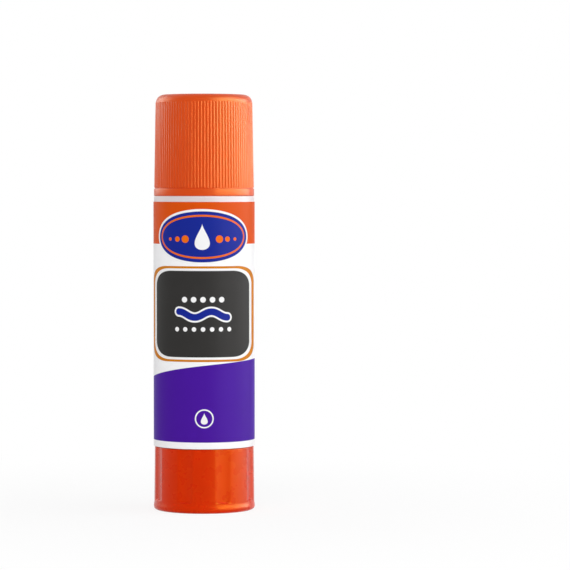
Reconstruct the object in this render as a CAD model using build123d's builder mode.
from build123d import *
from math import pi, sqrt
import os

# A twist-up glue stick, standing on its base knob with its cap on. Sizes are in millimetres.
# The origin is the centre of the foot ring, on the surface the stick stands on, and +Z is up.
# The front of the stick faces -Y. All but the keys, flutes, webs, ribs and the label's lap is
# turned about the Z axis, so the outlines are half-sections of (radius, height), with a third
# value, the corner's radius, on the pieces that have rounded corners.

# Overall sizes
barrel_dia = 26.7
barrel_length = 66.6
knob_height = 16.95
cap_height = 26.9

# Clearances
running_gap = 0.1
shoulder_gap = 0.1
turning_gap = 0.3
slide_gap = 0.15
thread_gap = 0.2
seat_gap = 0.05
overrun = 0.4

# Edges: a lead-in where one piece is pushed into another, and a break on the other sharp edges
lead_in = 0.35
edge_break = 0.2

# Barrel: a tube with a neck for the cap, a floor, and a spigot that the knob snaps onto
barrel_wall = 2.55
neck_wall = 1.0
neck_height = 16.0
neck_bead_lift = 3.0
neck_bead_height = 1.2
neck_bead_depth = 0.1
spigot_wall = 1.5
floor_rise = 3.4
floor_thickness = 1.4
key_count = 4
key_width = 1.4
key_height = 0.5
key_top_drop = 6.0

# Snap joint: a bead inside the knob in a groove round the spigot
snap_level = 11.0
snap_depth = 0.35
snap_land = 0.6
snap_slope = 0.4

# Base knob: a cup with shallow grip flutes, a foot ring below and a drive socket inside
knob_draft = 0.15
knob_rim_wall = 1.3
knob_rim_round = 0.25
flare_lip = 0.15
flare_height = 1.3
waist_height = 2.2
foot_round = 0.9
foot_ring_width = 1.4
foot_ring_draft = 0.25
foot_recess = 0.6
knob_floor = 1.5
flute_count = 8
flute_width = 4.6
flute_depth = 0.45
flute_bottom = 2.8
socket_dia = 8.8
socket_floor = 2.6
gusset_count = 4
gusset_thickness = 1.2
gusset_height = 3.0

# Spindle: a one-start, left-hand lead screw, so that a turn to the right of the knob, seen from
# below, drives the carrier up
thread_lead = 4.5
thread_root_dia = 4.6
thread_crest_dia = 6.4
thread_root_width = 1.9
thread_crest_width = 1.0
spindle_flange_dia = 12.0
spindle_flange_thickness = 1.2
spindle_hex = 5.0
spindle_tip = 0.5

# Carrier: a keyed cup that holds the glue and runs on the lead screw, until its rim is a little
# below the neck's top
carrier_wall = 1.05
carrier_skirt = 8.5
carrier_floor = 1.2
cup_depth = 9.0
rim_drop = 1.5
nut_dia = 9.4
nut_drop = 7.0
parking_gap = 0.5
web_thickness = 0.9
web_height = 5.0

# Glue
glue_below_rim = 2.0
glue_round = 0.8
glue_core_gap = 0.3
glue_core_head = 0.7

# Cap: a ribbed cup with a sealing skirt that plugs the neck
cap_gap = 0.2
cap_band_height = 1.95
cap_groove_height = 0.25
cap_foot_inset = 0.265
cap_draft = 0.26
cap_shoulder_round = 2.2
cap_top_wall = 1.6
cap_head_wall = 1.3
cap_step_gap = 0.4
seal_wall = 0.9
seal_depth = 1.4
rib_count = 96
rib_foot_share = 0.725
rib_crest_share = 0.305
rib_height = 0.2
rib_root = 0.3
rib_run_out = 0.9
rib_dive = 0.3

# Label: a wrapped film whose ends lap at the back
film = 0.15
label_height = 65.0
label_lift = 0.05
lap_width = 5.0
lap_thickness = 0.1

# Levels, from the surface that the stick stands on
knob_floor_top = foot_recess + knob_floor
gusset_top = knob_floor_top + gusset_height
spigot_bottom = gusset_top + turning_gap
lower_shoulder = knob_height + shoulder_gap
floor_top = lower_shoulder + floor_rise
floor_bottom = floor_top - floor_thickness
flange_top = floor_bottom - turning_gap
flange_bottom = flange_top - spindle_flange_thickness
cap_seat = lower_shoulder + barrel_length
neck_top = cap_seat + neck_height
stick_top = cap_seat + cap_height
carrier_bottom = floor_top + parking_gap
carrier_floor_bottom = carrier_bottom + carrier_skirt
carrier_floor_top = carrier_floor_bottom + carrier_floor
carrier_rim = carrier_floor_top + cup_depth
nut_bottom = carrier_floor_bottom - nut_drop
travel = neck_top - rim_drop - carrier_rim
spindle_top = carrier_floor_top + travel + spindle_tip
glue_top = neck_top - glue_below_rim
thread_start = floor_top + thread_root_width / 2 + parking_gap

# Radii that pieces share: the barrel, the knob's waist and the cap's band are flush
barrel_r = barrel_dia / 2
bore_r = barrel_r - barrel_wall
neck_r = bore_r + neck_wall
knob_top_r = barrel_r - knob_draft
knob_bore_r = knob_top_r - knob_rim_wall
spigot_r = knob_bore_r - running_gap
flare_r = barrel_r + flare_lip
socket_r = socket_dia / 2
root_r = thread_root_dia / 2
crest_r = thread_crest_dia / 2
slider_r = bore_r - slide_gap
cup_r = slider_r - carrier_wall
nut_r = nut_dia / 2
glue_core_r = crest_r + glue_core_gap


def turned(outline):
    """A solid turned about the Z axis, from a half-section of (radius, height, corner radius)."""
    with BuildPart() as body:
        with BuildSketch(Plane.XZ):
            with BuildLine():
                FilletPolyline(
                    [(r, z) for r, z, corner in outline],
                    radius=[corner for r, z, corner in outline],
                    close=True,
                )
            make_face()
        revolve(axis=Axis.Z)
    return body.part


def threaded_rod(clearance, rod_bottom, rod_top, thread_bottom, thread_top):
    """A left-hand threaded rod; a clearance grows it into the cutter for its nut."""
    flank_slope = (thread_root_width - thread_crest_width) / 2 / (crest_r - root_r)
    sunk_r = root_r - overrun
    sunk_half = thread_root_width / 2 + flank_slope * overrun + clearance
    crest_half = thread_crest_width / 2 + clearance
    tooth = crest_r + clearance - sunk_r
    with BuildPart() as rod:
        with BuildLine() as thread_path:
            Helix(thread_lead, thread_top - thread_bottom, sunk_r, center=(0, 0, thread_bottom), lefthand=True)
        with BuildSketch(Plane(origin=(sunk_r, 0, thread_bottom), x_dir=(1, 0, 0), z_dir=(0, -1, 0))):
            with BuildLine():
                Polyline((0, -sunk_half), (tooth, -crest_half), (tooth, crest_half), (0, sunk_half), close=True)
            make_face()
        sweep(path=thread_path.line, is_frenet=True)
        with BuildSketch(Plane.XY.offset(rod_bottom)):
            Circle(root_r + clearance)
        extrude(amount=rod_top - rod_bottom)
    return rod.part


# Base knob
foot_ring_r = flare_r - foot_round - foot_ring_width
knob_outline = (
    (0, foot_recess, 0),
    (foot_ring_r - foot_ring_draft, foot_recess, 0),
    (foot_ring_r, 0, 0),
    (flare_r, 0, foot_round),
    (flare_r, flare_height, 0),
    (barrel_r, waist_height, 0),
    (knob_top_r, knob_height, knob_rim_round),
    (knob_bore_r + lead_in, knob_height, 0),
    (knob_bore_r, knob_height - lead_in, 0),
    (knob_bore_r, snap_level + snap_land / 2 + snap_slope, 0),
    (knob_bore_r - snap_depth, snap_level + snap_land / 2, 0),
    (knob_bore_r - snap_depth, snap_level - snap_land / 2, 0),
    (knob_bore_r, snap_level - snap_land / 2 - snap_slope, 0),
    (knob_bore_r, knob_floor_top, 0),
    (socket_r, knob_floor_top, 0),
    (socket_r, flange_bottom, 0),
    (0, flange_bottom, 0),
)
flute_half = flute_width / 2
knob_chord_r = sqrt(barrel_r**2 - flute_half**2)
flute_sag = flute_depth - (barrel_r - knob_chord_r)
flute_r = (flute_half**2 + flute_sag**2) / (2 * flute_sag)
flute_axis_r = knob_chord_r - flute_sag + flute_r

with BuildPart() as base_knob:
    add(turned(knob_outline))
    with BuildSketch(Plane.XY.offset(flute_bottom)):
        with PolarLocations(flute_axis_r, flute_count, start_angle=180 / flute_count):
            Circle(flute_r)
    extrude(amount=knob_height, mode=Mode.SUBTRACT)
    with BuildSketch(Plane.XY.offset(knob_floor_top)):
        with PolarLocations((knob_bore_r + socket_r) / 2, gusset_count):
            Rectangle(knob_bore_r - socket_r + overrun, gusset_thickness)
    extrude(amount=gusset_height)
    with BuildSketch(Plane.XY.offset(socket_floor)):
        RegularPolygon(spindle_hex / 2 + seat_gap, side_count=6, major_radius=False)
    extrude(amount=flange_bottom, mode=Mode.SUBTRACT)
base_knob.part.label = "base_knob"

# Spindle
thread_end = spindle_top - thread_root_width
with BuildPart() as spindle:
    with BuildSketch(Plane.XY.offset(socket_floor + turning_gap)):
        RegularPolygon(spindle_hex / 2, side_count=6, major_radius=False)
    extrude(amount=flange_bottom - socket_floor - turning_gap)
    with BuildSketch(Plane.XY.offset(flange_bottom)):
        Circle(spindle_flange_dia / 2)
    extrude(amount=spindle_flange_thickness)
    add(threaded_rod(0, flange_bottom, spindle_top, thread_start, thread_end))
spindle.part.label = "spindle"

# Barrel
groove_r = knob_bore_r - snap_depth - running_gap
neck_bead_base = cap_seat + neck_bead_lift
barrel_outline = (
    (crest_r + turning_gap, floor_bottom),
    (spigot_r - spigot_wall, floor_bottom),
    (spigot_r - spigot_wall, spigot_bottom),
    (spigot_r - lead_in, spigot_bottom),
    (spigot_r, spigot_bottom + lead_in),
    (spigot_r, snap_level - snap_land / 2 - snap_slope - running_gap),
    (groove_r, snap_level - snap_land / 2 - running_gap),
    (groove_r, snap_level + snap_land / 2 + running_gap),
    (spigot_r, snap_level + snap_land / 2 + snap_slope + running_gap),
    (spigot_r, lower_shoulder),
    (barrel_r - edge_break, lower_shoulder),
    (barrel_r, lower_shoulder + edge_break),
    (barrel_r, cap_seat - edge_break),
    (barrel_r - edge_break, cap_seat),
    (neck_r, cap_seat),
    (neck_r, neck_bead_base),
    (neck_r + neck_bead_depth, neck_bead_base + neck_bead_depth),
    (neck_r + neck_bead_depth, neck_bead_base + neck_bead_height - neck_bead_depth),
    (neck_r, neck_bead_base + neck_bead_height),
    (neck_r, neck_top - lead_in),
    (neck_r - lead_in, neck_top),
    (bore_r + edge_break, neck_top),
    (bore_r, neck_top - edge_break),
    (bore_r, floor_top),
    (crest_r + turning_gap, floor_top),
)
with BuildPart() as barrel:
    with BuildSketch(Plane.XZ):
        with BuildLine():
            Polyline(barrel_outline, close=True)
        make_face()
    revolve(axis=Axis.Z)
    with BuildSketch(Plane.XY.offset(floor_top)):
        with PolarLocations(bore_r - key_height / 2 + overrun / 2, key_count):
            Rectangle(key_height + overrun, key_width)
    extrude(amount=neck_top - key_top_drop - floor_top)
barrel.part.label = "barrel"

# Carrier
carrier_outline = (
    (0, nut_bottom),
    (nut_r, nut_bottom),
    (nut_r, carrier_floor_bottom),
    (cup_r, carrier_floor_bottom),
    (cup_r, carrier_bottom),
    (slider_r, carrier_bottom),
    (slider_r, carrier_rim),
    (cup_r, carrier_rim),
    (cup_r, carrier_floor_top),
    (0, carrier_floor_top),
)
slot_depth = key_height + slide_gap
slot_width = key_width + 2 * slide_gap
nut_thread_bottom = thread_start - thread_lead
nut_thread_top = carrier_floor_top + thread_lead
nut_cutter = threaded_rod(
    thread_gap,
    nut_thread_bottom - thread_root_width,
    nut_thread_top + thread_root_width,
    nut_thread_bottom,
    nut_thread_top,
)
with BuildPart() as carrier:
    with BuildSketch(Plane.XZ):
        with BuildLine():
            Polyline(carrier_outline, close=True)
        make_face()
    revolve(axis=Axis.Z)
    with BuildSketch(Plane.XY.offset(carrier_floor_bottom)):
        with PolarLocations((nut_r + cup_r) / 2, key_count, start_angle=180 / key_count):
            Rectangle(cup_r - nut_r + overrun, web_thickness)
    extrude(amount=-web_height)
    with BuildSketch(Plane.XY.offset(carrier_bottom)):
        with PolarLocations(bore_r - slot_depth / 2 + overrun / 2, key_count):
            Rectangle(slot_depth + overrun, slot_width)
    extrude(amount=carrier_rim - carrier_bottom, mode=Mode.SUBTRACT)
    add(nut_cutter, mode=Mode.SUBTRACT)
carrier.part.label = "carrier"

# Glue, cast round the lead screw and into the cup
glue_core_top = spindle_top + glue_core_head
glue_outline = (
    (glue_core_r, carrier_floor_top, 0),
    (cup_r - seat_gap, carrier_floor_top, 0),
    (cup_r - seat_gap, carrier_rim, 0),
    (slider_r, carrier_rim, 0),
    (slider_r, glue_top, glue_round),
    (0, glue_top, 0),
    (0, glue_core_top, 0),
    (glue_core_r, glue_core_top, 0),
)
with BuildPart() as glue_stick:
    add(turned(glue_outline))
    with BuildSketch(Plane.XY.offset(carrier_rim)):
        with PolarLocations(bore_r - slot_depth / 2 + overrun / 2, key_count):
            Rectangle(slot_depth + overrun, slot_width)
    extrude(amount=glue_top - carrier_rim, mode=Mode.SUBTRACT)
glue_stick.part.label = "glue_stick"

# Cap
cap_bore_r = neck_r + cap_gap
cap_foot_r = barrel_r - cap_foot_inset
cap_top_r = cap_foot_r - cap_draft
cap_band_top = cap_seat + cap_band_height
rib_foot = cap_band_top + cap_groove_height
rib_shoulder = stick_top - cap_shoulder_round
cap_ceiling = stick_top - cap_top_wall
cap_head_r = cap_top_r - cap_head_wall
seal_r = bore_r - slide_gap
seal_bottom = neck_top - seal_depth
cap_outline = (
    (cap_bore_r, cap_seat + lead_in, 0),
    (cap_bore_r + lead_in, cap_seat, 0),
    (barrel_r - edge_break, cap_seat, 0),
    (barrel_r, cap_seat + edge_break, 0),
    (barrel_r, cap_band_top - edge_break, 0),
    (barrel_r - edge_break, cap_band_top, 0),
    (cap_foot_r, cap_band_top, 0),
    (cap_top_r, stick_top, cap_shoulder_round),
    (0, stick_top, 0),
    (0, cap_ceiling, 0),
    (seal_r - seal_wall, cap_ceiling, 0),
    (seal_r - seal_wall, seal_bottom, 0),
    (seal_r - lead_in, seal_bottom, 0),
    (seal_r, seal_bottom + lead_in, 0),
    (seal_r, cap_ceiling, 0),
    (cap_head_r, cap_ceiling, 0),
    (cap_head_r, neck_top + cap_step_gap, 0),
    (cap_bore_r, neck_top + cap_step_gap, 0),
)
# Each rib is a tapered bar of trapezoid section: it stands on the groove over the band, leans in
# with the cap's draft, and its last section dives under the rounded shoulder.
side_slope = cap_draft / (stick_top - cap_band_top)
shoulder_r = cap_foot_r - side_slope * (rib_shoulder - cap_band_top)
rib_pitch = 2 * pi * cap_foot_r / rib_count
rib_foot_half = rib_foot_share * rib_pitch / 2
rib_crest_half = rib_crest_share * rib_pitch / 2
rib_sections = (
    (rib_foot, cap_foot_r - side_slope * cap_groove_height),
    (rib_shoulder, shoulder_r),
    (rib_shoulder + rib_run_out, shoulder_r - rib_height - rib_dive),
)
with BuildPart() as rib:
    for level, side_r in rib_sections:
        with BuildSketch(Plane.XY.offset(level)):
            with BuildLine():
                Polyline(
                    (side_r - rib_root, -rib_foot_half),
                    (side_r, -rib_foot_half),
                    (side_r + rib_height, -rib_crest_half),
                    (side_r + rib_height, rib_crest_half),
                    (side_r, rib_foot_half),
                    (side_r - rib_root, rib_foot_half),
                    close=True,
                )
            make_face()
    loft(ruled=True)

with BuildPart() as cap:
    add(turned(cap_outline))
    with PolarLocations(0, rib_count):
        add(rib.part)
cap.part.label = "cap"

# Label
label_bottom = lower_shoulder + label_lift
with BuildPart() as label:
    with BuildSketch(Plane.XY.offset(label_bottom)):
        Circle(barrel_r + film)
        Circle(barrel_r, mode=Mode.SUBTRACT)
    extrude(amount=label_height)
    with BuildSketch(Plane.XY.offset(label_bottom)):
        Circle(barrel_r + film + lap_thickness)
        Circle(barrel_r + film / 2, mode=Mode.SUBTRACT)
        with Locations((0, barrel_r)):
            Rectangle(lap_width, barrel_r, mode=Mode.INTERSECT)
    extrude(amount=label_height)
label.part.label = "label"

os.makedirs("parts", exist_ok=True)
for piece in (base_knob, spindle, barrel, carrier, glue_stick, cap, label):
    print(piece.part.label, round(piece.part.volume, 2), piece.part.is_valid, len(piece.part.solids()))
    export_step(piece.part, f"parts/{piece.part.label}.step")
